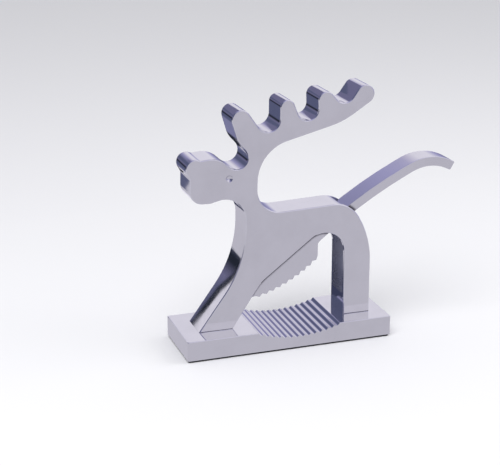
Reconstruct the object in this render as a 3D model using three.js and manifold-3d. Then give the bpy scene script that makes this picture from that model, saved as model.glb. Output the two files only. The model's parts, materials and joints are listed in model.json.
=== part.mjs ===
// Lever nutcracker in the outline of a moose, standing on a plate with a ribbed nut trough.
// Units are millimetres. X runs from the nose (-X) to the tail (+X), Y across the body and Z up.
// The origin is at the middle of the plate's footprint, on the underside of the pad.
import * as THREE from 'three';
import { mergeVertices } from 'three/addons/utils/BufferGeometryUtils.js';
import Module from 'manifold-3d';

const wasm = await Module();
wasm.setup();

// ---------------------------------------------------------------- driving dimensions

const GAP = 0.3;                        // between neighbouring pieces
const TURN_STEP = 7 * Math.PI / 180;    // longest turn between two points of a round
const ROUND_SAG = 0.1;                  // and the most that a round may be flattened between them

// base plate and pad
const PLATE_IN_FRONT = 13.5;            // plate showing in front of the front foot
const PLATE_BEHIND = 11.9;              // and behind the hind foot
const PLATE_DEPTH = 57;
const PLATE_HEIGHT = 15.5;
const PLATE_CORNER = 1.2;
const PLATE_BEVEL = 0.5;
const PAD_THICKNESS = 1.5;
const PAD_INSET = 1;

// nut trough across the plate
const TROUGH_CENTRE = 6.5;
const TROUGH_WIDTH = 67;
const TROUGH_SAG = 6;
const RIB_COUNT = 14;
const RIB_HEIGHT = 1.3;

// body casting
const BODY_THICKNESS = 26;
const BODY_BEVEL = 0.8;
const CHEEK = 3;
const FRONT_FOOT_FRONT = -69;
const FRONT_FOOT_REAR = -42;
const HIND_LEG_FRONT = 48.8;
const HIND_LEG_REAR = 70.6;
const ARCH_RADIUS = 16.8;
const ARCH_TOP = 68.6;
const RUMP_RADIUS = 24;
const BACK_HEIGHT = 90.8;
const EYE = { x: -44.3, z: 119, diameter: 5.4, depth: 1.3 };

// lever casting
const PIVOT = { x: -35.5, z: 28 };
const SIDE_CLEARANCE = 0.5;
const HUB_RIM = 0.9;
const JAW_LENGTH = 57.7;
const JAW_START = { x: 13.5, z: -6.9 };
const JAW_ANGLE = 28 * Math.PI / 180;
const JAW_BOW = 3.8;
const TOOTH_COUNT = 10;
const TOOTH_DEPTH = 1.7;
const ELBOW_RADIUS = 4;
const BEND = { x: 156, z: 51.8 };
const BEND_RADIUS = 33;
const BEND_END = 60 * Math.PI / 180;
const ARM_RADIUS = 348;                 // the arm's gentle curve, on its underside
const ARM_JOIN = 24.7 * Math.PI / 180;  // slope where the arm runs into the bend
const ROOT_SLOPE = 34.4 * Math.PI / 180; // slope of the arm's top where it leaves the hub's flank
const ROOT_RADIUS = 12;
const TAIL_THICKNESS = 7.4;
const TAIL_ROUND = 1.2;
const LEVER_BEVEL = 0.6;
const OPEN_ANGLE = 3 * Math.PI / 180;
const CLOSE_ANGLE = 36 * Math.PI / 180;

// pivot pin and washers
const PIN_DIAMETER = 7;
const PIN_CHAMFER = 0.6;
const PIN_COVER = 0.7;                  // metal left over the pin's blind end
const WASHER_THICKNESS = 0.8;
const WASHER_RING = 1.9;

// screws from the plate into the feet
const SCREW_DIAMETER = 5;
const SCREW_GRIP = 9;
const SCREW_POINT = 0.8;
const SCREW_HEAD_DIAMETER = 9.4;
const SCREW_HEAD_HEIGHT = 2.6;
const SCREW_SPACING = 13;
const SCREW_LEAN = 2;
const HEX_KEY = 3;
const HEX_DEPTH = 1.8;

// ---------------------------------------------------------------- sizes that follow

const plateFront = FRONT_FOOT_FRONT - PLATE_IN_FRONT;
const plateRear = HIND_LEG_REAR + PLATE_BEHIND;
const plateTop = PAD_THICKNESS + PLATE_HEIGHT;
const slotWidth = BODY_THICKNESS - 2 * CHEEK;
const leverThickness = slotWidth - 2 * SIDE_CLEARANCE;
const pinRadius = PIN_DIAMETER / 2;
const pinSeat = CHEEK - PIN_COVER - GAP;
const washerRadius = pinRadius + GAP + WASHER_RING;
const hubRadius = washerRadius + GAP + HUB_RIM;
const washerFace = slotWidth / 2 - GAP;
const screwRadius = SCREW_DIAMETER / 2;
const beyond = 10;                      // how far a cutting tool runs past the metal
const nudge = 0.05;                     // sets two touching rounds just apart, so a tangent joins them

// ---------------------------------------------------------------- outlines

// An outline is a belt round a ring of pegs. A peg is [x, z, radius]. A positive radius is a peg
// inside the metal (a rounded corner), a negative one is outside it (a hollow) and 0 is sharp.
// The pegs go anticlockwise and the belt joins each pair by their common tangent.
function heading([x, z, r], [nextX, nextZ, nextR]) {
  const reach = Math.hypot(nextX - x, nextZ - z);
  return Math.atan2(nextZ - z, nextX - x) - Math.asin((nextR - r) / reach);
}

function belt(pegs) {
  const headings = pegs.map((peg, i) => heading(peg, pegs[(i + 1) % pegs.length]));
  const points = [];
  pegs.forEach(([x, z, r], i) => {
    const side = r < 0 ? Math.PI / 2 : -Math.PI / 2;
    const start = headings.at(i - 1) + side;
    const fullTurn = Math.sign(r) * 2 * Math.PI;
    const turn = r === 0 ? 0 : headings[i] + side - start;
    const swept = r === 0 ? 0 : turn - fullTurn * Math.floor(turn / fullTurn);
    const step = Math.min(TURN_STEP, 2 * Math.acos(1 - Math.min(1, ROUND_SAG / Math.abs(r))));
    const steps = Math.ceil(Math.abs(swept) / step);
    for (let k = 0; k <= steps; k++) {
      const angle = start + (steps ? swept * k / steps : 0);
      points.push(new THREE.Vector2(x, z).add(polar(Math.abs(r), angle)));
    }
  });
  return points;
}

function polar(radius, angle) {
  return new THREE.Vector2(radius * Math.cos(angle), radius * Math.sin(angle));
}

// The moose from the side, with its soles at z = 0.
const mooseOutline = belt([
  [FRONT_FOOT_FRONT, 0, 0],
  [FRONT_FOOT_REAR, 0, 0],
  [9.6, 5.8, -40],                                                        // leg into belly
  [HIND_LEG_FRONT - ARCH_RADIUS, ARCH_TOP - ARCH_RADIUS, -ARCH_RADIUS],   // arch
  [HIND_LEG_FRONT, 0, 0],
  [HIND_LEG_REAR, 0, 0],
  [HIND_LEG_REAR - 70, 42, 70],                                           // haunch
  [HIND_LEG_REAR - 31.1, BACK_HEIGHT - RUMP_RADIUS, RUMP_RADIUS],         // rump
  [-3.4, 108.1, -18.8],                                                   // withers
  [8.5, 114, -30.5],                                                      // behind the head
  [21.6, 210.7, 60],                                                      // underside of the antler
  [63.1, 174.5, 7.2],                                                     // fourth tine
  [46.4, 177.2, -8],
  [31.7, 172.2, 6.5],                                                     // third tine
  [17.2, 166.2, -8.2],
  [1.1, 169.1, 5.7],                                                      // second tine
  [-13.8, 160.8, -9.1],
  [-34.9, 162.6, 7.2],                                                    // first tine
  [-21.9, 154.9, 17.5],
  [-38.2, 134.1, -8.6],                                                   // forehead
  [-58.5, 118, 17],                                                       // bridge of the muzzle
  [-65.9, 135.6, -1.2],
  [-70.3, 128.4, 7.2],                                                    // nose
  [-79.6, 119.5, -5.2],                                                   // mouth
  [-64.6, 111.3, 10],                                                     // lip
  [-60, 111.2, 10],                                                       // chin
  [-48.4, 86.2, -17],                                                     // under the jaw
  [-121.4, 81, -90],                                                      // chest and shin
]);

// The lever from the side, with the pivot at the origin: hub, toothed jaw, elbow, arm and tail.
const hubPeg = [0, 0, hubRadius];
const bendInner = [BEND.x, BEND.z, -BEND_RADIUS];
const bendOuter = [BEND.x, BEND.z, BEND_RADIUS + TAIL_THICKNESS];
const armReach = ARM_RADIUS - BEND_RADIUS + nudge;
const arm = {
  x: BEND.x + armReach * Math.sin(ARM_JOIN),
  z: BEND.z - armReach * Math.cos(ARM_JOIN),
};
const armUnder = [arm.x, arm.z, -ARM_RADIUS];
const armTop = [arm.x, arm.z, ARM_RADIUS + TAIL_THICKNESS];
const rootReach = ARM_RADIUS + TAIL_THICKNESS + ROOT_RADIUS + nudge;
const root = [
  arm.x - rootReach * Math.sin(ROOT_SLOPE),
  arm.z + rootReach * Math.cos(ROOT_SLOPE),
  -ROOT_RADIUS,
];
const flankSlope = heading(root, hubPeg) - Math.PI;

// How high the upper side of a round is above the pivot, at x.
function heightOnRound(centre, radius, x) {
  return centre.z + Math.sqrt(radius ** 2 - (x - centre.x) ** 2);
}

function jawPoint(along, outward) {
  const bow = JAW_BOW * 4 * along * (1 - along);
  return [
    JAW_START.x + JAW_LENGTH * along * Math.cos(JAW_ANGLE) + (bow + outward) * Math.sin(JAW_ANGLE),
    JAW_START.z + JAW_LENGTH * along * Math.sin(JAW_ANGLE) - (bow + outward) * Math.cos(JAW_ANGLE),
    0,
  ];
}

function tailEnd(radius) {
  const corner = polar(radius, BEND_END);
  return [BEND.x + corner.x, BEND.z + corner.y, TAIL_ROUND];
}

function leverOutline() {
  const pegs = [hubPeg];
  for (let k = 0; k <= 2 * TOOTH_COUNT; k++) {
    pegs.push(jawPoint(k / (2 * TOOTH_COUNT), k % 2 ? 0 : -TOOTH_DEPTH));
  }
  const jawFront = pegs.at(-1);
  const elbowX = jawFront[0] + ELBOW_RADIUS;
  const elbowZ = heightOnRound(arm, ARM_RADIUS - ELBOW_RADIUS + nudge, elbowX);
  pegs.push([elbowX, elbowZ, -ELBOW_RADIUS]);
  pegs.push(armUnder);
  pegs.push(bendInner);
  pegs.push(tailEnd(BEND_RADIUS + TAIL_ROUND + nudge));
  pegs.push(tailEnd(BEND_RADIUS + TAIL_THICKNESS - TAIL_ROUND + nudge));
  pegs.push(bendOuter);
  pegs.push(armTop);
  pegs.push(root);
  return belt(pegs);
}

// The slot through the body, which clears the lever from its open to its closed position.
function slotOutline() {
  const clearRadius = hubRadius + SIDE_CLEARANCE;
  const roofSlope = flankSlope + OPEN_ANGLE;
  const roofEnd = polar(110, roofSlope).add(polar(clearRadius, roofSlope + Math.PI / 2));
  const shutArm = {
    x: arm.x * Math.cos(CLOSE_ANGLE) + arm.z * Math.sin(CLOSE_ANGLE),
    z: arm.z * Math.cos(CLOSE_ANGLE) - arm.x * Math.sin(CLOSE_ANGLE),
  };
  const floor = PIVOT.z + heightOnRound(shutArm, ARM_RADIUS, HIND_LEG_REAR - PIVOT.x) - ROUND_SAG - 2 * GAP;
  return belt([
    [PIVOT.x, PIVOT.z, clearRadius],
    [PIVOT.x + 9, 6, 0],
    [HIND_LEG_FRONT - 4, 6, 0],
    [HIND_LEG_FRONT - 4, floor, 0],
    [HIND_LEG_REAR + beyond, floor, 0],
    [HIND_LEG_REAR + beyond, BACK_HEIGHT + beyond, 0],
    [PIVOT.x + roofEnd.x, PIVOT.z + roofEnd.y, 0],
  ]);
}

// The trough's cross-section: a shallow arc broken into ridges, closed above the plate.
function troughOutline() {
  const half = TROUGH_WIDTH / 2;
  const radius = (half * half + TROUGH_SAG * TROUGH_SAG) / (2 * TROUGH_SAG);
  const points = [];
  for (let k = 0; k <= 2 * RIB_COUNT; k++) {
    const x = half * (k / RIB_COUNT - 1);
    const sag = Math.sqrt(radius * radius - x * x) - (radius - TROUGH_SAG);
    points.push(new THREE.Vector2(TROUGH_CENTRE + x, PLATE_HEIGHT - sag - (k % 2 ? RIB_HEIGHT : 0)));
  }
  points.push(new THREE.Vector2(TROUGH_CENTRE + half, PLATE_HEIGHT + beyond));
  points.push(new THREE.Vector2(TROUGH_CENTRE - half, PLATE_HEIGHT + beyond));
  return points;
}

// The plate's outline from above, or the pad's where it is set in all round.
function plateOutline(inset) {
  const front = plateFront + inset + PLATE_CORNER;
  const rear = plateRear - inset - PLATE_CORNER;
  const y = PLATE_DEPTH / 2 - inset - PLATE_CORNER;
  return belt([
    [front, -y, PLATE_CORNER],
    [rear, -y, PLATE_CORNER],
    [rear, y, PLATE_CORNER],
    [front, y, PLATE_CORNER],
  ]);
}

// ---------------------------------------------------------------- solids

function extruded(points, depth, bevel) {
  return new THREE.ExtrudeGeometry(new THREE.Shape(points), {
    depth: depth - 2 * bevel,
    bevelEnabled: bevel > 0,
    bevelThickness: bevel,
    bevelSize: bevel,
    bevelOffset: -bevel,
    bevelSegments: 1,
  }).translate(0, 0, bevel);
}

// A side outline made into a slab of the given thickness, centred on y = 0.
function slab(points, thickness, bevel = 0) {
  return extruded(points, thickness, bevel).translate(0, 0, -thickness / 2).rotateX(Math.PI / 2);
}

// A turned piece along Z. The profile's [radius, z] points go up the outside.
function turned(profile, sides = 32) {
  const points = profile.map(([r, z]) => new THREE.Vector2(r, z));
  return new THREE.LatheGeometry(points, sides).rotateX(Math.PI / 2);
}

// A turned piece along Y, from the far side (+Y) to the near side (-Y).
function turnedAcross(profile) {
  return turned(profile).rotateX(Math.PI / 2);
}

function rod(radius, start, end) {
  return [[0, start], [radius, start], [radius, end], [0, end]];
}

function solid(geometry) {
  geometry.deleteAttribute('normal');
  geometry.deleteAttribute('uv');
  const merged = mergeVertices(geometry, 1e-4);
  return new wasm.Manifold(new wasm.Mesh({
    numProp: 3,
    vertProperties: new Float32Array(merged.attributes.position.array),
    triVerts: new Uint32Array(merged.index.array),
  }));
}

function cut(blank, tools) {
  const result = tools.reduce((left, tool) => left.subtract(solid(tool)), solid(blank)).getMesh();
  const geometry = new THREE.BufferGeometry();
  geometry.setAttribute('position', new THREE.BufferAttribute(new Float32Array(result.vertProperties), 3));
  geometry.setIndex(new THREE.BufferAttribute(new Uint32Array(result.triVerts), 1));
  return geometry.toNonIndexed();
}

function piece(name, geometry, finish) {
  geometry.computeVertexNormals();
  const mesh = new THREE.Mesh(geometry, finish);
  mesh.name = name;
  return mesh;
}

// ---------------------------------------------------------------- finishes

const chrome = { color: 0xc9cad2, roughness: 0.08, metalness: 1 };
const bodyChrome = new THREE.MeshStandardMaterial(chrome);
const leverChrome = new THREE.MeshStandardMaterial(chrome);
const plateChrome = new THREE.MeshStandardMaterial({ ...chrome, color: 0xd4d5da });
const blackFoam = new THREE.MeshStandardMaterial({ color: 0x17181d, roughness: 0.95, metalness: 0 });
const plainSteel = new THREE.MeshStandardMaterial({ color: 0x9a9ca0, roughness: 0.35, metalness: 1 });

// ---------------------------------------------------------------- base plate, pad and screws

const screwPlaces = [];
for (const foot of [
  (FRONT_FOOT_FRONT + FRONT_FOOT_REAR) / 2 + SCREW_LEAN,
  (HIND_LEG_FRONT + HIND_LEG_REAR) / 2,
]) {
  for (const side of [-1, 1]) {
    screwPlaces.push({ x: foot, y: side * SCREW_SPACING / 2 });
  }
}

function buildPlate() {
  const headRadius = SCREW_HEAD_DIAMETER / 2 + GAP;
  const shank = screwRadius + GAP;
  const hole = [
    [0, -beyond],
    [headRadius, -beyond],
    [headRadius, GAP],
    [shank, 2 * GAP + SCREW_HEAD_HEIGHT],
    [shank, PLATE_HEIGHT + beyond],
    [0, PLATE_HEIGHT + beyond],
  ];
  const tools = screwPlaces.map(({ x, y }) => turned(hole).translate(x, y, 0));
  tools.push(slab(troughOutline(), PLATE_DEPTH + beyond));
  return cut(extruded(plateOutline(0), PLATE_HEIGHT, PLATE_BEVEL), tools);
}

function buildPad() {
  return extruded(plateOutline(PAD_INSET), PAD_THICKNESS, 0);
}

function buildScrew() {
  const tip = PLATE_HEIGHT + SCREW_GRIP;
  const blank = turned([
    [0, GAP],
    [SCREW_HEAD_DIAMETER / 2, GAP],
    [screwRadius, GAP + SCREW_HEAD_HEIGHT],
    [screwRadius, tip - SCREW_POINT],
    [screwRadius - SCREW_POINT, tip],
    [0, tip],
  ], 20);
  const socketRadius = HEX_KEY / Math.sqrt(3);
  const socket = turned(rod(socketRadius, -beyond, GAP + HEX_DEPTH), 6);
  return cut(blank, [socket]);
}

const base = new THREE.Group();
base.position.z = PAD_THICKNESS;
base.add(piece('base_plate', buildPlate(), plateChrome));
screwPlaces.forEach(({ x, y }, i) => {
  const screw = piece(`foot_screw_${i + 1}`, buildScrew(), plainSteel);
  screw.position.set(x, y, 0);
  base.add(screw);
});

// ---------------------------------------------------------------- body, lever and pivot

function buildBody() {
  const halfBody = BODY_THICKNESS / 2;
  const eyeRadius = (EYE.diameter ** 2 / 4 + EYE.depth ** 2) / (2 * EYE.depth);
  const tools = [
    slab(slotOutline(), slotWidth),
    turnedAcross(rod(pinRadius + GAP, -halfBody - beyond, slotWidth / 2 + pinSeat + GAP))
      .translate(PIVOT.x, 0, PIVOT.z),
  ];
  for (const side of [-1, 1]) {
    const offset = side * (halfBody + eyeRadius - EYE.depth);
    tools.push(new THREE.SphereGeometry(eyeRadius, 32, 24).translate(EYE.x, offset, EYE.z));
  }
  for (const { x, y } of screwPlaces) {
    tools.push(turned(rod(screwRadius + GAP, -beyond, SCREW_GRIP + GAP), 20).translate(x, y, 0));
  }
  return cut(slab(mooseOutline, BODY_THICKNESS, BODY_BEVEL), tools);
}

function buildLever() {
  const washerSeat = washerFace - WASHER_THICKNESS - GAP;
  const seatRadius = washerRadius + GAP;
  return cut(slab(leverOutline(), leverThickness, LEVER_BEVEL), [
    turnedAcross(rod(pinRadius + GAP, -slotWidth, slotWidth)),
    turnedAcross(rod(seatRadius, washerSeat, slotWidth)),
    turnedAcross(rod(seatRadius, -slotWidth, -washerSeat)),
  ]);
}

function buildPin() {
  const nearEnd = slotWidth / 2 + pinSeat;
  const farEnd = -BODY_THICKNESS / 2;
  return turnedAcross([
    [0, farEnd],
    [pinRadius - PIN_CHAMFER, farEnd],
    [pinRadius, farEnd + PIN_CHAMFER],
    [pinRadius, nearEnd - PIN_CHAMFER],
    [pinRadius - PIN_CHAMFER, nearEnd],
    [0, nearEnd],
  ]);
}

function buildWasher(side) {
  const inner = pinRadius + GAP;
  const low = side > 0 ? washerFace - WASHER_THICKNESS : -washerFace;
  const high = low + WASHER_THICKNESS;
  return turnedAcross([
    [inner, low],
    [washerRadius, low],
    [washerRadius, high],
    [inner, high],
    [inner, low],
  ]);
}

const moose = new THREE.Group();
moose.position.z = plateTop;
moose.add(piece('body', buildBody(), bodyChrome));

const hinge = new THREE.Group();
hinge.position.set(PIVOT.x, 0, PIVOT.z);
hinge.add(piece('lever', buildLever(), leverChrome));
hinge.add(piece('pivot_pin', buildPin(), plainSteel));
hinge.add(piece('pivot_washer_near', buildWasher(1), plainSteel));
hinge.add(piece('pivot_washer_far', buildWasher(-1), plainSteel));
moose.add(hinge);

const nutcracker = new THREE.Group();
nutcracker.add(piece('base_pad', buildPad(), blackFoam));
nutcracker.add(base);
nutcracker.add(moose);

export default nutcracker;
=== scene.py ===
# %% [markdown]
# # A moose that cracks nuts
#
# This notebook dresses a lever nutcracker in its finished metal. The nutcracker has the outline of a
# moose standing on a plate. Its tail is the handle of a toothed jaw that swings inside the body on a
# hidden pin, and a nut is squeezed between the jaw and a ribbed trough in the plate.
#
# The mechanical model comes first and stays as it is. It says where every piece sits, how thick the
# castings are and where the jaw turns. We load it as a fixed frame and build each finely finished
# piece in the place of its plain stand-in, so that nothing has to be fitted afterwards.

# %% Load the mechanical frame
import json
import math

import bmesh
import bpy
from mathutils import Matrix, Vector


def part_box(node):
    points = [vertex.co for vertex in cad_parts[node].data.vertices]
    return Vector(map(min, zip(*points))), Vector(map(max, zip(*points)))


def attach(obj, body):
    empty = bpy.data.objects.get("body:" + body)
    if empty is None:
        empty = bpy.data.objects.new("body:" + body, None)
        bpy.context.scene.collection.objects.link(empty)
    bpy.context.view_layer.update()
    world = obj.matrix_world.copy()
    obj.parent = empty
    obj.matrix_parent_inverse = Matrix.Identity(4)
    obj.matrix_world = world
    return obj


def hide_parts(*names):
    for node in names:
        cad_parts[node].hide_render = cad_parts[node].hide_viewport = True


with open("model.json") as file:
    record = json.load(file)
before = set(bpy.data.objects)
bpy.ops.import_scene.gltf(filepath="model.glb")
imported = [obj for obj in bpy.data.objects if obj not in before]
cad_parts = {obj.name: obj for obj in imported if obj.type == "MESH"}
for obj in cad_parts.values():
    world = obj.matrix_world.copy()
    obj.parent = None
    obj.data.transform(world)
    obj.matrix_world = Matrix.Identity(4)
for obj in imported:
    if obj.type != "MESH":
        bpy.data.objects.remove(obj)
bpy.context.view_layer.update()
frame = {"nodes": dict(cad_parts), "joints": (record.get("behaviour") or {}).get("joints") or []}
MM = 0.001

# %% [markdown]
# ## Where we look from
#
# A camera is a place, a direction and a lens. The place here is to the left of the moose, higher than
# its antler and about a metre away. A long lens from far away keeps the plate's edges nearly
# parallel, which is how small products are usually shown. We set the camera up first because chrome
# has no look of its own: what it mirrors depends on where the eye is.

# %% Camera
CAMERA_PLACE = Vector((-0.34153, -0.92376, 0.41693))
CAMERA_TURN = -18.98
CAMERA_DROP = 18.60
CAMERA_LENS = 97.854

camera_data = bpy.data.cameras.new("product_camera")
camera_data.lens = CAMERA_LENS
camera_data.sensor_width = 36
camera_data.clip_start = 0.01
camera = bpy.data.objects.new("product_camera", camera_data)
bpy.context.scene.collection.objects.link(camera)
camera.location = CAMERA_PLACE
camera.rotation_euler = (math.radians(90 - CAMERA_DROP), 0, math.radians(CAMERA_TURN))
bpy.context.scene.camera = camera
print("camera distance:", round(CAMERA_PLACE.length, 3), "m")

# %% [markdown]
# ## Sizes that the frame gives us
#
# Every size that another piece depends on is read from the frame: the thickness of the two castings,
# the height of the plate's top and the line of the pivot. Only the shapes that the plain model
# rounds off roughly are given again here, as a few dimensions in millimetres.

# %% Read the shared sizes
body_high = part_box("body")[1]
lever_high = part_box("lever")[1]
plate_low, plate_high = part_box("base_plate")
pad_low, pad_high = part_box("base_pad")
hinge = next(j for j in frame["joints"] if j["name"] == "lever_hinge")
PIVOT = Vector(hinge["pos_m"])

SOLE = plate_high.z / MM
BODY_HALF = body_high.y / MM
LEVER_HALF = lever_high.y / MM
SIDE_CLEARANCE = 0.5
SLOT_HALF = LEVER_HALF + SIDE_CLEARANCE
GAP = 0.3
BEYOND = 10
print("thickness of body and lever:", round(2 * BODY_HALF, 2), "and", round(2 * LEVER_HALF, 2), "mm")
print("the soles stand at", round(SOLE, 2), "mm")

# %% [markdown]
# ## Outlines as belts round pegs
#
# Both castings are flat shapes with a smooth outline, like something sawn from thick plate. Such an
# outline can be drawn with many points, but then no curve is ever truly round. A belt stretched
# round a row of pegs says the same with far less: each peg is a round corner of known radius, and
# the belt runs straight from one to the next along their common tangent.
#
# A peg with a positive radius sits inside the metal and makes a rounded corner. A negative radius
# sits outside and makes a hollow. Radius 0 is a sharp corner. Each point also remembers which way
# is out of the metal, so that the edge can be rounded over afterwards.

# %% Belt helper
TURN_STEP = math.radians(3)


def polar(radius, angle):
    return Vector((radius * math.cos(angle), radius * math.sin(angle)))


def heading(peg, after):
    reach = math.hypot(after[0] - peg[0], after[1] - peg[1])
    return math.atan2(after[1] - peg[1], after[0] - peg[0]) - math.asin((after[2] - peg[2]) / reach)


def belt(pegs):
    """Points of the belt as (place, way out of the metal), going anticlockwise."""
    headings = [heading(peg, pegs[(i + 1) % len(pegs)]) for i, peg in enumerate(pegs)]
    points = []
    for i, (u, v, radius) in enumerate(pegs):
        before, after = headings[i - 1], headings[i]
        if radius == 0:
            turn = (after - before + math.pi) % (2 * math.pi) - math.pi
            way_out = polar(1 / math.cos(turn / 2), before + turn / 2 - math.pi / 2)
            points.append((Vector((u, v)), way_out))
            continue
        side = -math.pi / 2 if radius > 0 else math.pi / 2
        turn = (after - before) % (2 * math.pi)
        swept = turn if radius > 0 else turn - 2 * math.pi
        steps = max(1, math.ceil(abs(swept) / TURN_STEP))
        for k in range(steps + 1):
            angle = before + side + swept * k / steps
            radial = polar(1, angle)
            points.append((Vector((u, v)) + abs(radius) * radial, radial * math.copysign(1, radius)))
    return points


print("a belt round one 5 mm corner has", len(belt([(0, 0, 5), (20, 0, 5), (10, 20, 5)])), "points")

# %% [markdown]
# ## From outline to slab, with a rounded rim
#
# A polished casting never has a knife edge: the buffing wheel rounds it over, and that thin round
# catches the light all along the outline. A bevel modifier could do it, but on tight curves its
# corners fold over. Here the rim is lofted instead: the outline is repeated in rings that step in
# and down along a quarter circle, so that the round is the same width everywhere.
#
# Each polygon also carries the number of its finish. Flat faces, rims and walls are numbered here.
# The inside of a slot and a stretch of rim get their numbers later, for chromes darkened as painted
# shade.

# %% Slab helper
RIM_STEPS = 4
# The last two numbers are for chromes darkened as painted shade: inside the slot and along the belly.
FACE, RIM, WALL, INSIDE, BELLY_SHADE = range(5)
SAME_SPOT = 1e-7


def mesh_piece(name, bm):
    bmesh.ops.remove_doubles(bm, verts=bm.verts, dist=SAME_SPOT)
    bmesh.ops.recalc_face_normals(bm, faces=bm.faces)
    mesh = bpy.data.meshes.new(name)
    bm.to_mesh(mesh)
    bm.free()
    piece = bpy.data.objects.new(name, mesh)
    bpy.context.scene.collection.objects.link(piece)
    return piece


def across_y(u, v, w):
    return Vector((u, w, v)) * MM


def across_z(u, v, w):
    return Vector((u, v, w)) * MM


def slab(name, points, low, high, rim, place=across_y, shrink=0.0):
    """A slab between low and high, with its two rims rounded over by the radius rim."""
    rings = []
    for end, inward in ((low, 1), (high, -1)):
        for k in range(RIM_STEPS + 1):
            angle = math.pi / 2 * k / RIM_STEPS
            inset = rim * (1 - math.sin(angle)) + shrink
            level = end + inward * rim * (1 - math.cos(angle))
            rings.append([place(*(p - out * inset), level) for p, out in points])
            if rim == 0:
                break
    half = len(rings) // 2
    rings = rings[:half] + rings[half:][::-1]
    bm = bmesh.new()
    loops = [[bm.verts.new(p) for p in ring] for ring in rings]
    for r, (one, two) in enumerate(zip(loops, loops[1:])):
        number = WALL if r == half - 1 else RIM
        for i in range(len(one)):
            j = (i + 1) % len(one)
            longest = max((one[i].co - one[j].co).length, (two[i].co - two[j].co).length)
            if longest > SAME_SPOT:
                bm.faces.new((one[i], one[j], two[j], two[i])).material_index = number
    bm.faces.new(loops[0]).material_index = FACE
    bm.faces.new(loops[-1]).material_index = FACE
    piece = mesh_piece(name, bm)
    for _ in range(BELLY_SHADE + 1):
        piece.data.materials.append(None)
    return piece


# %% [markdown]
# ## Cutting and smoothing
#
# The slot for the jaw, the pin's hole and the eyes are cut out, as a milling cutter or a drill
# would cut them. The boolean modifier does this exactly. Its result is then fixed into the mesh,
# and the cutter is thrown away, so no live modifier depends on a hidden object.
#
# Shading needs care on big flat faces. Weighted normals make each large face keep its own
# direction and push all the bending into the thin rim, which is what makes flat chrome look flat.

# %% Cutting helpers
def settle(piece):
    """Fixes the piece's modifiers into its mesh."""
    graph = bpy.context.evaluated_depsgraph_get()
    settled = bpy.data.meshes.new_from_object(piece.evaluated_get(graph))
    piece.modifiers.clear()
    old = piece.data
    piece.data = settled
    settled.name = piece.name
    bpy.data.meshes.remove(old)


def carve(piece, cutters, operation="DIFFERENCE"):
    for cutter in cutters:
        modifier = piece.modifiers.new("cut", "BOOLEAN")
        modifier.operation = operation
        modifier.solver = "EXACT"
        modifier.object = cutter
        bpy.context.view_layer.update()
        settle(piece)
        bpy.data.meshes.remove(cutter.data)


def smooth(piece, crease=32):
    piece.data.polygons.foreach_set("use_smooth", [True] * len(piece.data.polygons))
    piece.data.set_sharp_from_angle(angle=math.radians(crease))
    modifier = piece.modifiers.new("flat faces stay flat", "WEIGHTED_NORMAL")
    modifier.keep_sharp = True
    modifier.weight = 60
    settle(piece)
    print(piece.name, "has", len(piece.data.polygons), "faces")
    return piece


# %% [markdown]
# ## Turned pieces
#
# Pins, washers and screws come off a lathe. A turned piece is a profile of radius and height spun
# round an axis. Two touches make it more than a plain spin: a ring can be a hexagon, for the key
# socket in a screw's head, and its radius can wander with the angle, which winds a thread.

# %% Lathe helper
HEXAGON = "hexagon"


def hexagon_radius(radius, angle):
    return radius * math.cos(math.pi / 6) / math.cos((angle + math.pi / 6) % (math.pi / 3) - math.pi / 6)


def turned(name, profile, centre, axis, sides=48, closed=False, thread=None):
    """profile holds (radius, height) or (radius, height, HEXAGON) rings, in millimetres."""
    bm = bmesh.new()
    loops = []
    for radius, height, *form in profile:
        loop = []
        for k in range(sides):
            angle = 2 * math.pi * k / sides
            r = hexagon_radius(radius, angle) if form else radius
            if thread:
                r += thread(height, angle)
            flat = polar(r, angle)
            spot = Vector((flat.x, flat.y, height)) if axis == "Z" else Vector((flat.x, height, -flat.y))
            loop.append(bm.verts.new(centre + spot * MM))
        loops.append(loop)
    pairs = list(zip(loops, loops[1:] + loops[:1])) if closed else list(zip(loops, loops[1:]))
    for one, two in pairs:
        for i in range(sides):
            j = (i + 1) % sides
            bm.faces.new((one[i], one[j], two[j], two[i]))
    if not closed:
        bm.faces.new(loops[0])
        bm.faces.new(loops[-1])
    return mesh_piece(name, bm)


# %% [markdown]
# ## The moose
#
# The body is one heavy casting, 26 mm thick. Read the pegs from the front foot along the belly,
# round the arch to the hind foot, up over the rump and the back, round the antler with its four
# tines, and down the face and chest. Heights are measured from the soles.

# %% The moose's outline
HIND_LEG_FRONT = 48.8
HIND_LEG_REAR = 70.6
MOOSE_PEGS = [
    (-69, 0, 0),
    (-42, 0, 0),
    (9.6, 5.8, -40),
    (32, 51.8, -16.8),
    (HIND_LEG_FRONT, 0, 0),
    (HIND_LEG_REAR, 0, 0),
    (0.6, 42, 70),
    (39.5, 66.8, 24),
    (-3.4, 108.1, -18.8),
    (8.5, 114, -30.5),
    (21.6, 210.7, 60),
    (63.1, 174.5, 7.2),
    (46.4, 177.2, -8),
    (31.7, 172.2, 6.5),
    (17.2, 166.2, -8.2),
    (1.1, 169.1, 5.7),
    (-13.8, 160.8, -9.1),
    (-34.9, 162.6, 7.2),
    (-21.9, 154.9, 17.5),
    (-38.2, 134.1, -8.6),
    (-58.5, 118, 17),
    (-65.9, 135.6, -1.2),
    (-70.3, 128.4, 7.2),
    (-79.6, 119.5, -5.2),
    (-64.6, 111.3, 10),
    (-60, 111.2, 10),
    (-48.4, 86.2, -17),
    (-121.4, 81, -90),
]
moose_belt = belt([(x, z + SOLE, r) for x, z, r in MOOSE_PEGS])
print("the moose's outline has", len(MOOSE_PEGS), "pegs and", len(moose_belt), "points")

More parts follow.
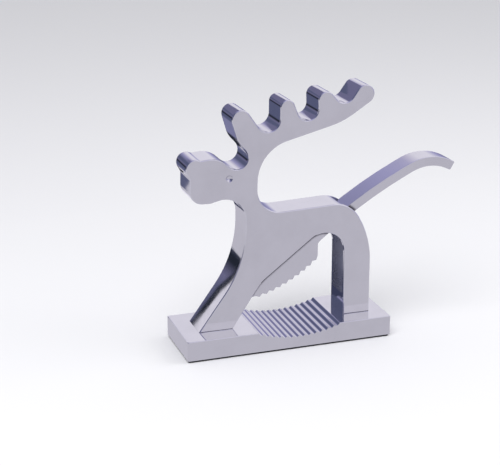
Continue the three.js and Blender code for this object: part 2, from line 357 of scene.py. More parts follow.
# %% [markdown]
# ## The jaw and its long tail
#
# The lever is a second casting that fits the slot in the body. Its hub turns on the pin low in the
# front leg. From the hub a toothed jaw bows out towards the nut. A tight elbow leads into the arm,
# which leaves the rump, curves very gently and bends over into the tail. The tail is the handle.
#
# The arm looks straight, but it is part of a very large round, 348 mm in radius on its underside.
# One peg for the upper side and one for the underside share a centre far away, so the arm keeps the
# same thickness all along.

# %% The lever's outline
HUB_RADIUS = 6.9
JAW_LENGTH = 57.7
JAW_START = Vector((13.5, -6.9))
JAW_ANGLE = math.radians(28)
JAW_BOW = 3.8
TOOTH_COUNT = 10
TOOTH_DEPTH = 1.7
TOOTH_ROUND = 0.6
ELBOW_RADIUS = 4
BEND = Vector((156, 51.8))
BEND_RADIUS = 33
BEND_END = math.radians(60)
ARM_RADIUS = 348
ARM_JOIN = math.radians(24.7)
ROOT_SLOPE = math.radians(34.4)
ROOT_RADIUS = 12
TAIL_THICKNESS = 7.4
TAIL_ROUND = 1.2
NUDGE = 0.05

arm = BEND + polar(ARM_RADIUS - BEND_RADIUS + NUDGE, ARM_JOIN - math.pi / 2)
root = arm + polar(ARM_RADIUS + TAIL_THICKNESS + ROOT_RADIUS + NUDGE, ROOT_SLOPE + math.pi / 2)
root_peg = (*root, -ROOT_RADIUS)
flank_slope = heading(root_peg, (0, 0, HUB_RADIUS)) - math.pi


def height_on_round(centre, radius, x):
    """How high the upper side of a round lies above the pivot, at x."""
    return centre.y + math.sqrt(radius ** 2 - (x - centre.x) ** 2)


def jaw_point(along, outward, radius):
    bow = JAW_BOW * 4 * along * (1 - along) + outward
    spot = JAW_START + polar(JAW_LENGTH * along, JAW_ANGLE) + polar(bow, JAW_ANGLE - math.pi / 2)
    return (*spot, radius)


def tail_end(radius):
    return (*(BEND + polar(radius, BEND_END)), TAIL_ROUND)


lever_pegs = [(0, 0, HUB_RADIUS)]
for k in range(2 * TOOTH_COUNT):
    if k % 2:
        lever_pegs.append(jaw_point(k / (2 * TOOTH_COUNT), -TOOTH_ROUND, TOOTH_ROUND))
    else:
        lever_pegs.append(jaw_point(k / (2 * TOOTH_COUNT), TOOTH_ROUND - TOOTH_DEPTH, -TOOTH_ROUND))
jaw_front = jaw_point(1, -TOOTH_DEPTH, 0)
lever_pegs.append(jaw_front)
elbow_x = jaw_front[0] + ELBOW_RADIUS
elbow_z = height_on_round(arm, ARM_RADIUS - ELBOW_RADIUS + NUDGE, elbow_x)
lever_pegs.append((elbow_x, elbow_z, -ELBOW_RADIUS))
lever_pegs.append((*arm, -ARM_RADIUS))
lever_pegs.append((*BEND, -BEND_RADIUS))
lever_pegs.append(tail_end(BEND_RADIUS + TAIL_ROUND + NUDGE))
lever_pegs.append(tail_end(BEND_RADIUS + TAIL_THICKNESS - TAIL_ROUND + NUDGE))
lever_pegs.append((*BEND, BEND_RADIUS + TAIL_THICKNESS))
lever_pegs.append((*arm, ARM_RADIUS + TAIL_THICKNESS))
lever_pegs.append(root_peg)
pivot_x, pivot_z = PIVOT.x / MM, PIVOT.z / MM
lever_belt = belt([(x + pivot_x, z + pivot_z, r) for x, z, r in lever_pegs])
print("the lever's outline has", len(lever_pegs), "pegs and", len(lever_belt), "points")

# %% [markdown]
# ## The slot inside the body
#
# The slot has to clear the lever in every position. Its roof follows the flank of the lever with
# the jaw wide open, and its floor, part way down the hind leg, follows the underside of the arm
# with the jaw shut. Two thin cheeks of metal are left on either side.

# %% The slot's outline
OPEN_ANGLE = -math.radians(hinge["range_deg"][0])
CLOSE_ANGLE = math.radians(hinge["range_deg"][1])
SLOT_FOOT = 6 + SOLE
FLOOR_CLEARANCE = 0.7
clear_radius = HUB_RADIUS + SIDE_CLEARANCE
roof_slope = flank_slope + OPEN_ANGLE
roof_end = polar(110, roof_slope) + polar(clear_radius, roof_slope + math.pi / 2)
shut_arm = Vector((
    arm.x * math.cos(CLOSE_ANGLE) + arm.y * math.sin(CLOSE_ANGLE),
    arm.y * math.cos(CLOSE_ANGLE) - arm.x * math.sin(CLOSE_ANGLE),
))
slot_floor = pivot_z + height_on_round(shut_arm, ARM_RADIUS, HIND_LEG_REAR - pivot_x) - FLOOR_CLEARANCE
slot_belt = belt([
    (pivot_x, pivot_z, clear_radius),
    (pivot_x + 9, SLOT_FOOT, 0),
    (HIND_LEG_FRONT - 4, SLOT_FOOT, 0),
    (HIND_LEG_FRONT - 4, slot_floor, 0),
    (HIND_LEG_REAR + BEYOND, slot_floor, 0),
    (HIND_LEG_REAR + BEYOND, SOLE + 100, 0),
    (pivot_x + roof_end.x, pivot_z + roof_end.y, 0),
])
print("slot floor", round(slot_floor - SOLE, 1), "mm above the soles")

# %% [markdown]
# ## Building the body
#
# Slab first, then the cuts: the slot, the blind hole for the pin from the far side, the eyes and
# the four screw holes in the feet. An eye is a shallow dimple left by a ball-nosed cutter, so its
# cutter is a ball that only just dips into the face.
#
# The slot's cutter carries the finish number of the slot's inside, a darker chrome as painted
# shade, and the boolean hands it on to the walls that it cuts. Last, the rim along the belly,
# where the jaw slides past, is numbered for a near-black chrome: painted shade of the gap there.

# %% Body casting
HAIR = 0.02
BODY_RIM = 0.8
EYE = Vector((-44.3, 0, 119 + SOLE))
EYE_DIAMETER = 5.4
EYE_DEPTH = 1.3
BALL_RINGS = 32
SCREW_RADIUS = 2.5
SCREW_GRIP = 9

body = slab("moose_body", moose_belt, -BODY_HALF, BODY_HALF, BODY_RIM, shrink=HAIR)
pin_low, pin_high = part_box("pivot_pin")
pin_radius = (pin_high.z - pin_low.z) / 2 / MM
near_end = pin_low.y / MM
hole_radius = pin_radius + GAP / 3
screw_names = sorted(n for n in frame["nodes"] if n.startswith("foot_screw"))
screw_places = [(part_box(n)[0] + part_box(n)[1]) / 2 for n in screw_names]

ball_radius = (EYE_DIAMETER ** 2 / 4 + EYE_DEPTH ** 2) / (2 * EYE_DEPTH)
cutters = [slab("slot_cutter", slot_belt, -SLOT_HALF, SLOT_HALF, 0)]
# The slot's inside is numbered for a darker chrome: painted shade inside the slot.
cutters[0].data.polygons.foreach_set("material_index", [INSIDE] * len(cutters[0].data.polygons))
pin_hole = [(hole_radius, near_end - GAP), (hole_radius, BODY_HALF + BEYOND)]
cutters.append(turned("pin_drill", pin_hole, Vector((PIVOT.x, 0, PIVOT.z)), "Y", 64))
for side in (-1, 1):
    ball = []
    for k in range(1, BALL_RINGS):
        latitude = math.pi * k / BALL_RINGS - math.pi / 2
        ball.append((ball_radius * math.cos(latitude), ball_radius * math.sin(latitude)))
    place = (EYE + Vector((0, side * (BODY_HALF + ball_radius - EYE_DEPTH), 0))) * MM
    cutters.append(turned("ball_cutter", ball, place, "Y", 48))
for place in screw_places:
    drill = [(SCREW_RADIUS + GAP, -BEYOND), (SCREW_RADIUS + GAP, SCREW_GRIP + GAP)]
    cutters.append(turned("screw_drill", drill, Vector((place.x, place.y, SOLE * MM)), "Z", 32))
carve(body, cutters)
smooth(body)

# %% Painted shade on the rim along the belly
BELLY_LENGTH = (-20, 27)
BELLY_HEIGHT = (26, 85)
LOOKS_DOWN = -0.05
# Painted shade: downward rim polygons along the belly get near-black chrome, for the dark gap under the
# cheek.
for face in body.data.polygons:
    spot = face.center / MM
    along = BELLY_LENGTH[0] < spot.x < BELLY_LENGTH[1]
    at_height = BELLY_HEIGHT[0] < spot.z < BELLY_HEIGHT[1]
    if face.material_index == RIM and along and at_height and face.normal.z < LOOKS_DOWN:
        face.material_index = BELLY_SHADE
painted = [face.material_index for face in body.data.polygons]
print("body faces by finish:", [painted.count(number) for number in range(BELLY_SHADE + 1)])

# %% [markdown]
# ## Building the lever
#
# The lever is bored for the pin, and each side of the hub is counterbored for a thin washer that
# keeps it running in the middle of the slot without rubbing the cheeks.

# %% Lever casting
LEVER_RIM = 0.45
lever = slab("jaw_and_tail", lever_belt, -LEVER_HALF, LEVER_HALF, LEVER_RIM, shrink=HAIR)
washer_low, washer_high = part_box("pivot_washer_near")
washer_radius = (washer_high.z - washer_low.z) / 2 / MM
seat = abs(washer_high.y) / MM - GAP
hub = Vector((PIVOT.x, 0, PIVOT.z))
bore = [(hole_radius, -LEVER_HALF - BEYOND), (hole_radius, LEVER_HALF + BEYOND)]
near_seat = [(washer_radius + GAP, -LEVER_HALF - BEYOND), (washer_radius + GAP, -seat)]
far_seat = [(washer_radius + GAP, seat), (washer_radius + GAP, LEVER_HALF + BEYOND)]
carve(lever, [turned("reamer", profile, hub, "Y", 64) for profile in (bore, near_seat, far_seat)])
smooth(lever)

# %% [markdown]
# ## The plate and its nut trough
#
# The plate is a thick slab with softly rounded corners. Across its middle runs a shallow trough with
# fourteen grooves, and the ridges left between them stop a nut from rolling away. The ridges and
# grooves follow a soft wave, because a ridge with sharp edges would chip its plating at once.

# %% Base plate
PLATE_CORNER = 1.2
PLATE_RIM = 0.5
TROUGH_CENTRE = 6.5
TROUGH_WIDTH = 67
TROUGH_SAG = 6
RIB_COUNT = 14
RIB_HEIGHT = 1.3
RIB_STEPS = 10
SCREW_HEAD_RADIUS = 4.7
SCREW_HEAD_HEIGHT = 2.6


def rounded_rectangle(low, high, corner):
    left, right = low.x / MM + corner, high.x / MM - corner
    near, far = low.y / MM + corner, high.y / MM - corner
    return belt([(left, near, corner), (right, near, corner), (right, far, corner), (left, far, corner)])


def trough_section():
    half = TROUGH_WIDTH / 2
    radius = (half ** 2 + TROUGH_SAG ** 2) / (2 * TROUGH_SAG)
    points = []
    for k in range(RIB_COUNT * RIB_STEPS + 1):
        x = half * (2 * k / (RIB_COUNT * RIB_STEPS) - 1)
        sag = math.sqrt(radius ** 2 - x ** 2) - (radius - TROUGH_SAG)
        groove = RIB_HEIGHT * math.sin(math.pi * k / RIB_STEPS) ** 2
        points.append((TROUGH_CENTRE + x, SOLE - sag - groove))
    points.append((TROUGH_CENTRE + half, SOLE + BEYOND))
    points.append((TROUGH_CENTRE - half, SOLE + BEYOND))
    return [(Vector(p), Vector((0, 0))) for p in points]


plate = slab("base_plate_chromed", rounded_rectangle(plate_low, plate_high, PLATE_CORNER),
             plate_low.z / MM, plate_high.z / MM, PLATE_RIM, across_z, shrink=HAIR)
plate_half = plate_high.y / MM + BEYOND
cutters = [slab("trough_cutter", trough_section(), -plate_half, plate_half, 0)]
for place in screw_places:
    floor_level = plate_low.z / MM
    sink = [
        (SCREW_HEAD_RADIUS + GAP, floor_level - BEYOND),
        (SCREW_HEAD_RADIUS + GAP, floor_level + GAP),
        (SCREW_RADIUS + GAP, floor_level + 2 * GAP + SCREW_HEAD_HEIGHT),
        (SCREW_RADIUS + GAP, SOLE + BEYOND),
    ]
    cutters.append(turned("countersink", sink, Vector((place.x, place.y, 0)), "Z", 48))
carve(plate, cutters)
smooth(plate, 40)

# %% [markdown]
# ## The pad underneath
#
# A thin sheet of foam rubber keeps the polished plate from scratching the table. It is cut a little
# smaller than the plate, so that only a dark line shows. Its cut edge bulges slightly between the
# plate and the table, which is a small round on both rims of the sheet.

# %% Foam pad
PAD_RIM = 0.45
pad = slab("foam_pad", rounded_rectangle(pad_low, pad_high, PLATE_CORNER),
           pad_low.z / MM, pad_high.z / MM, PAD_RIM, across_z, shrink=HAIR)
smooth(pad)

# %% [markdown]
# ## Pin, washers and screws
#
# These come off the lathe. Only the pin's far end shows, flush with the cheek: it has a chamfer and
# the small dimple that a lathe's centre leaves. The screws come up through the plate into the feet,
# so they carry a real thread and a hexagon socket, even though the pad hides their heads.

# %% Pivot pin and washers
PIN_CHAMFER = 0.6
CENTRE_DIMPLE = 0.9
far_end = pin_high.y / MM
pin = turned("hinge_pin", [
    (0.6 * pin_radius, near_end),
    (pin_radius - PIN_CHAMFER, near_end),
    (pin_radius - HAIR, near_end + PIN_CHAMFER),
    (pin_radius - HAIR, far_end - PIN_CHAMFER),
    (pin_radius - PIN_CHAMFER, far_end),
    (CENTRE_DIMPLE, far_end),
    (CENTRE_DIMPLE / 4, far_end - CENTRE_DIMPLE),
], hub, "Y", 64)
smooth(pin)

EDGE = 0.12
washers = []
for name, node in (("washer_near", "pivot_washer_near"), ("washer_far", "pivot_washer_far")):
    low, high = (corner.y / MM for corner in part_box(node))
    inner = pin_radius + GAP
    outer = washer_radius - HAIR
    ring = [
        (inner, low + EDGE),
        (inner + EDGE, low),
        (outer - EDGE, low),
        (outer, low + EDGE),
        (outer, high - EDGE),
        (outer - EDGE, high),
        (inner + EDGE, high),
        (inner, high - EDGE),
    ]
    washers.append(smooth(turned(name, ring, hub, "Y", 64, closed=True)))

# %% Foot screws
THREAD_PITCH = 0.8
THREAD_DEPTH = 0.45
SOCKET_RADIUS = 1.73
SOCKET_DEPTH = 1.8
SOCKET_CHAMFER = 0.2
HEAD_CHAMFER = 0.25
THREAD_START = 6
THREAD_RINGS = 8
TIP_LENGTH = 0.5
TIP_CHAMFER = 0.6


def screw_thread(bottom, tip):
    def wander(height, angle):
        if height < bottom + THREAD_START or height > tip - TIP_LENGTH:
            return 0
        phase = (height / THREAD_PITCH - angle / (2 * math.pi)) % 1
        return -THREAD_DEPTH * abs(2 * phase - 1)
    return wander


screws = []
for node in screw_names:
    low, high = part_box(node)
    bottom, tip = low.z / MM, high.z / MM
    profile = [
        (SOCKET_RADIUS * 0.3, bottom + SOCKET_DEPTH, HEXAGON),
        (SOCKET_RADIUS, bottom + SOCKET_DEPTH - SOCKET_CHAMFER, HEXAGON),
        (SOCKET_RADIUS, bottom + 0.75 * SOCKET_CHAMFER, HEXAGON),
        (SOCKET_RADIUS + SOCKET_CHAMFER, bottom),
        (SCREW_HEAD_RADIUS - HEAD_CHAMFER, bottom),
        (SCREW_HEAD_RADIUS - HAIR, bottom + 0.8 * HEAD_CHAMFER),
        (SCREW_RADIUS, bottom + SCREW_HEAD_HEIGHT),
    ]
    rings = int((tip - bottom - THREAD_START) / THREAD_PITCH * THREAD_RINGS)
    for k in range(rings):
        profile.append((SCREW_RADIUS, bottom + THREAD_START + k * THREAD_PITCH / THREAD_RINGS))
    profile.append((SCREW_RADIUS - 0.1, tip - TIP_LENGTH))
    profile.append((SCREW_RADIUS - TIP_CHAMFER, tip - HAIR))
    place = Vector(((low.x + high.x) / 2, (low.y + high.y) / 2, 0))
    screw = turned("screw_" + node[-1], profile, place, "Z", 36, thread=screw_thread(bottom, tip))
    screws.append(smooth(screw))

# %% [markdown]
# ## Chrome
#
# Chrome plating is a mirror with a faint blue tint over a polished casting. A perfect mirror looks
# like a hole in the picture, so three small faults are added, all made from noise in the metal's
# own coordinates: cloudy patches left by fingers and cloth, hairline scratches that follow the way
# it was buffed, and a very slight waviness of the casting under the plating. They change roughness
# and relief, and only touch the colour a little. The jaw alone has a fourth: painted shade, a dark
# line that ambient occlusion darkens into its colour in the corner where it goes into the body.
#
# The uniform numbers, such as metalness, are set straight on the shader's own sockets. Each chrome
# says how dull it is, which way it was buffed, and how deep its scratches and waves are.

# %% Node helpers
def new_finish(name, color, roughness, metallic):
    material = bpy.data.materials.new(name)
    material.use_nodes = True
    tree = material.node_tree
    shader = tree.nodes["Principled BSDF"]
    shader.inputs["Base Color"].default_value = (*color, 1)
    shader.inputs["Roughness"].default_value = roughness
    shader.inputs["Metallic"].default_value = metallic
    return material, tree, shader


def noise(tree, scale, stretch=(1, 1, 1), detail=4, roughness=0.5):
    """Noise in the piece's own coordinates, stretched along its axes. Returns the noise's output."""
    coordinates = tree.nodes.new("ShaderNodeTexCoord")
    mapping = tree.nodes.new("ShaderNodeMapping")
    mapping.inputs["Scale"].default_value = stretch
    texture = tree.nodes.new("ShaderNodeTexNoise")
    texture.inputs["Scale"].default_value = scale
    texture.inputs["Detail"].default_value = detail
    texture.inputs["Roughness"].default_value = roughness
    tree.links.new(coordinates.outputs["Object"], mapping.inputs["Vector"])
    tree.links.new(mapping.outputs["Vector"], texture.inputs["Vector"])
    return texture.outputs["Fac"]


def spread(tree, value, low, high, to_low, to_high):
    """Maps a value from one span to another, without leaving the second."""
    node = tree.nodes.new("ShaderNodeMapRange")
    for socket, number in zip(("From Min", "From Max", "To Min", "To Max"), (low, high, to_low, to_high)):
        node.inputs[socket].default_value = number
    tree.links.new(value, node.inputs["Value"])
    return node.outputs["Result"]


def tint(tree, shader, value, low_color, high_color):
    ramp = tree.nodes.new("ShaderNodeValToRGB")
    ramp.color_ramp.elements[0].color = (*low_color, 1)
    ramp.color_ramp.elements[1].color = (*high_color, 1)
    tree.links.new(value, ramp.inputs["Fac"])
    tree.links.new(ramp.outputs["Color"], shader.inputs["Base Color"])


def relief(tree, shader, heights):
    """Bump from several (value, strength, distance) layers, one on top of the other."""
    last = None
    for value, strength, distance in heights:
        bump = tree.nodes.new("ShaderNodeBump")
        bump.inputs["Strength"].default_value = strength
        bump.inputs["Distance"].default_value = distance
        tree.links.new(value, bump.inputs["Height"])
        if last:
            tree.links.new(last, bump.inputs["Normal"])
        last = bump.outputs["Normal"]
    tree.links.new(last, shader.inputs["Normal"])


# %% Chrome helpers
# Painted shade: ambient occlusion darkens the jaw's colour to near black in its inner corners.
CORNER_SHADE_REACH = 0.004
CORNER_SHADE_COLOR = (0.05, 0.045, 0.06)
CORNER_SHADE_FROM, CORNER_SHADE_TO = 0.68, 0.88


def paint_corner_shade(tree, shader):
    """Painted shade: darkens the colour to near black where ambient occlusion finds an inner corner."""
    corners = tree.nodes.new("ShaderNodeAmbientOcclusion")
    corners.samples = 8
    corners.inputs["Distance"].default_value = CORNER_SHADE_REACH
    mix = tree.nodes.new("ShaderNodeMix")
    mix.data_type = "RGBA"
    mix.inputs["A"].default_value = (*CORNER_SHADE_COLOR, 1)
    base = shader.inputs["Base Color"]
    openness = spread(tree, corners.outputs["AO"], CORNER_SHADE_FROM, CORNER_SHADE_TO, 0, 1)
    tree.links.new(openness, mix.inputs["Factor"])
    tree.links.new(base.links[0].from_socket, mix.inputs["B"])
    tree.links.new(mix.outputs["Result"], base)


SCRATCH_SHARE = 0.25
CLOUD_DULLING = 0.95


def chrome(name, color, sheen_low, sheen_high, buffing, scratch_strength, wave_strength, with_corner_shade=False):
    """Mirror plating. buffing stretches the scratches: a small number lies along the stroke."""
    material, tree, shader = new_finish(name, color, sheen_low, 1)
    clouds = spread(tree, noise(tree, 38, detail=5, roughness=0.62), 0.42, 0.72, 0, 1)
    hairlines = spread(tree, noise(tree, 900, buffing, detail=2), 0.6, 0.8, 0, 1)
    both = tree.nodes.new("ShaderNodeMath")
    both.operation = "MULTIPLY_ADD"
    both.inputs[1].default_value = SCRATCH_SHARE
    tree.links.new(hairlines, both.inputs[0])
    tree.links.new(clouds, both.inputs[2])
    sheen = spread(tree, both.outputs["Value"], 0, 1.2, sheen_low, sheen_high)
    tree.links.new(sheen, shader.inputs["Roughness"])
    dull = tuple(c * CLOUD_DULLING for c in color)
    tint(tree, shader, clouds, color, dull)
    if with_corner_shade:
        paint_corner_shade(tree, shader)
    waves = noise(tree, 55, detail=1)
    relief(tree, shader, [(waves, wave_strength, 0.0005), (hairlines, scratch_strength, 0.00002)])
    return material


# %% Chrome finishes
METAL_COLOR = (0.79, 0.785, 0.805)
# Rims are tinted lighter than the faces: a painted highlight along the outline.
RIM_HIGHLIGHT_COLOR = (0.84, 0.84, 0.86)
# A darker chrome for the slot's inside: painted shade in the recess.
SLOT_SHADE_COLOR = (0.50, 0.51, 0.57)
# Near-black chrome on the belly rim: painted shade of the gap under the cheek.
BELLY_SHADE_COLOR = (0.10, 0.095, 0.12)
ALONG = (0.03, 1, 1)
UPRIGHT = (1, 1, 0.03)
ACROSS = (1, 0.03, 1)
face_chrome = chrome("chrome, flat buffed faces", METAL_COLOR, 0.06, 0.13, ALONG, 0.25, 0.02)
# The jaw's faces carry painted shade in the corner where the jaw goes into the body.
jaw_chrome = chrome("chrome, jaw faces with painted corner shade", METAL_COLOR, 0.06, 0.13, ALONG, 0.25, 0.02, with_corner_shade=True)
wall_chrome = chrome("chrome, walls buffed across", METAL_COLOR, 0.05, 0.12, ACROSS, 0.25, 0.03)
# Rims: rougher from cloth wear, and a lighter tint as painted highlight.
rim_wear_and_highlight_chrome = chrome("chrome, rims worn by cloth and painted lighter", RIM_HIGHLIGHT_COLOR, 0.12, 0.22, ALONG, 0.1, 0.02)
# Painted shade inside the slot, also rougher.
slot_shade_chrome = chrome("chrome, painted shade inside the slot", SLOT_SHADE_COLOR, 0.22, 0.40, UPRIGHT, 0.4, 0.05)
# Painted shade along the belly rim, also rougher.
belly_shade_chrome = chrome("chrome, painted shade along the belly", BELLY_SHADE_COLOR, 0.3, 0.5, ALONG, 0.4, 0.03)
print("chrome finishes:", [m.name for m in bpy.data.materials if m.name.startswith("chrome")])

# %% [markdown]
# ## Foam rubber and turned steel
#
# Foam rubber is matte and full of tiny cells, so its relief comes from a cell pattern and its
# colour wanders between two near-blacks. Turned steel is bright but not a mirror: the tool leaves
# fine rings, which are noise squeezed tightly along the piece's axis.

# %% Foam and steel
FOAM_DARK = (0.008, 0.008, 0.011)
FOAM_WORN = (0.022, 0.022, 0.027)
STEEL_CLEAN = (0.58, 0.58, 0.59)
STEEL_OILY = (0.42, 0.42, 0.42)


def foam_finish():
    material, tree, shader = new_finish("black foam rubber", FOAM_DARK, 0.9, 0)
    cells = tree.nodes.new("ShaderNodeTexVoronoi")
    cells.inputs["Scale"].default_value = 1600
    coordinates = tree.nodes.new("ShaderNodeTexCoord")
    tree.links.new(coordinates.outputs["Object"], cells.inputs["Vector"])
    patches = noise(tree, 90)
    tint(tree, shader, spread(tree, patches, 0.35, 0.65, 0, 1), FOAM_DARK, FOAM_WORN)
    tree.links.new(spread(tree, patches, 0.3, 0.7, 0.82, 0.97), shader.inputs["Roughness"])
    relief(tree, shader, [(cells.outputs["Distance"], 0.6, 0.0002)])
    return material


def steel_finish(name, rings):
    material, tree, shader = new_finish(name, STEEL_CLEAN, 0.3, 1)
    tool_marks = noise(tree, 2500, rings, detail=2)
    oil = noise(tree, 300, detail=3)
    tint(tree, shader, spread(tree, oil, 0.4, 0.7, 0, 1), STEEL_CLEAN, STEEL_OILY)
    tree.links.new(spread(tree, tool_marks, 0.35, 0.65, 0.22, 0.42), shader.inputs["Roughness"])
    relief(tree, shader, [(tool_marks, 0.35, 0.00003)])
    return material


foam = foam_finish()
steel_across = steel_finish("steel turned along its pin", (0.02, 1, 0.02))
steel_upright = steel_finish("steel turned along its screw", (0.02, 0.02, 1))
print("finishes so far:", len(bpy.data.materials))

# %% [markdown]
# ## Dressing the pieces
#
# A casting has five finishes, one for each number that its polygons carry. The plate takes three:
# its top and underside are buffed across, and its sides and trough along. Every piece then says
# which body it rides on, which of the frame's finishes it wears and which plain node it replaces.

# %% Dress the pieces
CASTING = (face_chrome, rim_wear_and_highlight_chrome, wall_chrome, slot_shade_chrome, belly_shade_chrome)
PLATE = (wall_chrome, rim_wear_and_highlight_chrome, face_chrome)


def dress(piece, finishes, body_name, node):
    """Slots are filled in place, because emptying them would reset every polygon's number."""
    slots = piece.data.materials
    if not slots:
        slots.append(None)
    for number in range(len(slots)):
        slots[number] = finishes[min(number, len(finishes) - 1)]
    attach(piece, body_name)
    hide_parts(node)


dress(body, CASTING, "frame", "body")
dress(lever, (jaw_chrome, *CASTING[1:]), "lever", "lever")
dress(plate, PLATE, "frame", "base_plate")
dress(pad, (foam,), "frame", "base_pad")
dress(pin, (steel_across,), "frame", "pivot_pin")
for washer, node in zip(washers, ("pivot_washer_near", "pivot_washer_far")):
    dress(washer, (steel_across,), "frame", node)
for screw, node in zip(screws, screw_names):
    dress(screw, (steel_upright,), "frame", node)

# %% [markdown]
# ## A studio for a mirror
#
# Chrome shows the room, so the room is the real material. A studio hangs large white screens and
# leaves dark gaps between them, because the dark streaks are what makes metal look like metal.
#
# The world does that here. Rays that bounce off the metal look up their tone on a ring round the
# Y axis, like long strip lights that run from front to back: white above and to the right, lilac
# straight above, then slate and a dark line on the left. The walls of a flat casting run along Y,
# so each tone becomes a clean band on its curves. Everything else sees a plain, pale room.

# %% Tones of the room
NEAR_BLACK = (0.018, 0.022, 0.036)
DARK = (0.048, 0.053, 0.105)
SLATE = (0.105, 0.116, 0.210)
DUSK = (0.17, 0.165, 0.29)
BLUE_GREY = (0.24, 0.24, 0.41)
LILAC = (0.38, 0.37, 0.60)
PALE = (0.585, 0.556, 0.72)
WHITE = (0.80, 0.78, 0.88)
FLOOR_TONE = (0.577, 0.563, 0.644)
RING = [
    (-180, NEAR_BLACK), (-122, NEAR_BLACK), (-106, BLUE_GREY), (-86, LILAC), (-64, WHITE), (-34, WHITE),
    (-16, PALE), (0, LILAC), (22, BLUE_GREY), (44, SLATE), (66, SLATE), (82, DUSK), (96, NEAR_BLACK),
    (102, NEAR_BLACK), (116, SLATE), (142, SLATE), (165, BLUE_GREY), (180, NEAR_BLACK),
]
ROOM_COLOR = (0.93, 0.93, 0.95)
ROOM_LIGHT = 0.75


def world_room():
    world = bpy.data.worlds.new("studio")
    bpy.context.scene.world = world
    world.use_nodes = True
    tree = world.node_tree
    tree.nodes.clear()
    coordinates = tree.nodes.new("ShaderNodeTexCoord")
    parts = tree.nodes.new("ShaderNodeSeparateXYZ")
    tree.links.new(coordinates.outputs["Generated"], parts.inputs["Vector"])
    leftward = tree.nodes.new("ShaderNodeMath")
    leftward.operation = "MULTIPLY"
    leftward.inputs[1].default_value = -1
    tree.links.new(parts.outputs["X"], leftward.inputs[0])
    turn = tree.nodes.new("ShaderNodeMath")
    turn.operation = "ARCTAN2"
    tree.links.new(leftward.outputs["Value"], turn.inputs[0])
    tree.links.new(parts.outputs["Z"], turn.inputs[1])
    ring = tree.nodes.new("ShaderNodeValToRGB")
    elements = ring.color_ramp.elements
    while len(elements) < len(RING):
        elements.new(0.5)
    for element, (degrees, color) in zip(elements, RING):
        element.position = (degrees + 180) / 360
        element.color = (*color, 1)
    tree.links.new(spread(tree, turn.outputs["Value"], -math.pi, math.pi, 0, 1), ring.inputs["Fac"])
    seen_in_metal = tree.nodes.new("ShaderNodeBackground")
    tree.links.new(ring.outputs["Color"], seen_in_metal.inputs["Color"])
    plain = tree.nodes.new("ShaderNodeBackground")
    plain.inputs["Color"].default_value = (*ROOM_COLOR, 1)
    plain.inputs["Strength"].default_value = ROOM_LIGHT
    rays = tree.nodes.new("ShaderNodeLightPath")
    choose = tree.nodes.new("ShaderNodeMixShader")
    output = tree.nodes.new("ShaderNodeOutputWorld")
    tree.links.new(rays.outputs["Is Glossy Ray"], choose.inputs["Fac"])
    tree.links.new(plain.outputs["Background"], choose.inputs[1])
    tree.links.new(seen_in_metal.outputs["Background"], choose.inputs[2])
    tree.links.new(choose.outputs["Shader"], output.inputs["Surface"])


world_room()
print("the room has", len(RING), "tones round it")

# %% [markdown]
# ## Floor, cards and cloth
#
# The floor is a plain pale sheet. A second sheet, which only the metal can see, stands in for it in
# reflections, so that its tone can be set apart from the lighting.
#
# Three studio tricks follow. A white card held close to the shin puts a bright band along its near
# half, and black tape on the card's edge draws a thin dark line. A strip of dark cloth on the floor
# behind the arch keeps the inside of the hind leg dark. A grey card behind the antler shades the
# tops of the tines, which would otherwise be as white as the back.

# %% Floor and its stand-in
def quad(name, corners, material):
    mesh = bpy.data.meshes.new(name)
    mesh.from_pydata([tuple(corner) for corner in corners], [], [(0, 1, 2, 3)])
    piece = bpy.data.objects.new(name, mesh)
    bpy.context.scene.collection.objects.link(piece)
    mesh.materials.append(material)
    return piece


def sheet(name, x_low, x_high, y_low, y_high, material):
    corners = [(x_low, y_low, 0), (x_high, y_low, 0), (x_high, y_high, 0), (x_low, y_high, 0)]
    return quad(name, corners, material)


def glow(name, color):
    material = bpy.data.materials.new(name)
    material.use_nodes = True
    tree = material.node_tree
    tree.nodes.clear()
    emission = tree.nodes.new("ShaderNodeEmission")
    emission.inputs["Color"].default_value = (*color, 1)
    output = tree.nodes.new("ShaderNodeOutputMaterial")
    tree.links.new(emission.outputs["Emission"], output.inputs["Surface"])
    return material


def only_in_metal(piece):
    piece.visible_camera = False
    piece.visible_diffuse = False
    piece.visible_shadow = False
    piece.visible_transmission = False


PAPER_COLOR = (0.80, 0.80, 0.82)
FLOOR_REACH = 4
MIRRORED_SIDE = 0.9
MIRRORED_FRONT = -1.2
MIRRORED_BACK = 0.36
MIRRORED_FAR = 0.53

paper, _, paper_shader = new_finish("pale paper", PAPER_COLOR, 0.8, 0)
paper_shader.inputs["Specular IOR Level"].default_value = 0.2
floor = sheet("floor", -FLOOR_REACH, FLOOR_REACH, -FLOOR_REACH, FLOOR_REACH, paper)
floor.visible_glossy = False
paper_in_metal = glow("pale paper in the metal", FLOOR_TONE)
only_in_metal(sheet(
    "floor_seen_in_metal", -MIRRORED_SIDE, MIRRORED_SIDE, MIRRORED_FRONT, MIRRORED_BACK, paper_in_metal
))
far_corners = [
    (-MIRRORED_SIDE, MIRRORED_BACK, 0),
    (-0.17, MIRRORED_BACK, 0),
    (-0.26, MIRRORED_FAR, 0),
    (-MIRRORED_SIDE, MIRRORED_FAR, 0),
]
only_in_metal(quad("floor_behind_the_head", far_corners, paper_in_metal))

# %% Card by the shin
SHIN_FOOT = Vector((MOOSE_PEGS[0][0], 0, SOLE)) * MM
SHIN_LEAN = math.radians(54.3)
CARD_DISTANCE = 0.05
CARD_LOW, CARD_TOP = -0.03, 0.095
CARD_EDGE_LOW, CARD_EDGE_TOP = 0.105, 0.085
CARD_WIDTH = 0.06
TAPE_WIDTH = 0.011
shin_out = Vector((-math.sin(SHIN_LEAN), 0, math.cos(SHIN_LEAN)))
shin_up = Vector((math.cos(SHIN_LEAN), 0, math.sin(SHIN_LEAN)))


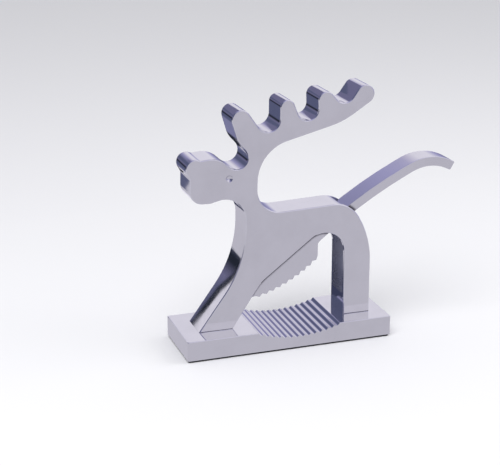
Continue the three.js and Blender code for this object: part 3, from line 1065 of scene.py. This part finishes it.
def by_the_shin(height, y):
    return SHIN_FOOT + shin_out * CARD_DISTANCE + shin_up * height + Vector((0, y, 0))


def shin_card(name, start, width, color):
    corners = [
        by_the_shin(CARD_LOW, CARD_EDGE_LOW + start),
        by_the_shin(CARD_LOW, CARD_EDGE_LOW + start + width),
        by_the_shin(CARD_TOP, CARD_EDGE_TOP + start + width),
        by_the_shin(CARD_TOP, CARD_EDGE_TOP + start),
    ]
    only_in_metal(quad(name, corners, glow(name + " tone", color)))


shin_card("white card", -CARD_WIDTH, CARD_WIDTH, WHITE)
shin_card("black tape", 0, TAPE_WIDTH, NEAR_BLACK)
print("the card hangs", CARD_DISTANCE, "m from the shin")

# %% Dark cloth behind the arch
CLOTH_HALF = 0.017
CLOTH_LIFT = 0.001
cloth_near, cloth_far = Vector((0.040, 0.022, CLOTH_LIFT)), Vector((-0.042, 0.270, CLOTH_LIFT))
half_width = Vector((CLOTH_HALF, 0, 0))
cloth_corners = [
    cloth_near - half_width,
    cloth_near + half_width,
    cloth_far + half_width,
    cloth_far - half_width,
]
only_in_metal(quad("cloth behind the arch", cloth_corners, glow("dark cloth", DARK)))
print("the cloth is", round((cloth_far - cloth_near).length, 3), "m long")

# %% Grey card behind the antler
BEHIND_ANTLER = 0.2
GREY_CARD_LEFT, GREY_CARD_RIGHT = -0.13, 0.07
GREY_CARD_TOP = 0.33
antler_card = [
    (GREY_CARD_LEFT, BEHIND_ANTLER, 0.225),
    (GREY_CARD_RIGHT, BEHIND_ANTLER, 0.28),
    (GREY_CARD_RIGHT, BEHIND_ANTLER, GREY_CARD_TOP),
    (GREY_CARD_LEFT, BEHIND_ANTLER, GREY_CARD_TOP),
]
only_in_metal(quad("grey card behind the antler", antler_card, glow("grey card", DUSK)))

# %% [markdown]
# ## Lamps
#
# One wide soft lamp, above and to the left of the front, gives the gentle shadow that sets the plate
# on the floor. A second, weaker one on the right opens up the shadows.

# %% Lamps
def lamp(name, place, size, power, aim=(0, 0, 0.08)):
    data = bpy.data.lights.new(name, "AREA")
    data.shape = "DISK"
    data.size = size
    data.energy = power
    lamp_object = bpy.data.objects.new(name, data)
    bpy.context.scene.collection.objects.link(lamp_object)
    lamp_object.location = place
    lamp_object.rotation_euler = (Vector(aim) - Vector(place)).to_track_quat("-Z", "Y").to_euler()
    lamp_object.visible_glossy = False


lamp("big_soft_lamp", (-0.5, -0.6, 1.4), 1.2, 14)
lamp("fill_lamp", (1.0, -0.3, 0.9), 0.9, 4)
bpy.context.scene.view_settings.view_transform = "Standard"
print("floor and", len(bpy.data.lights), "lamps in place")
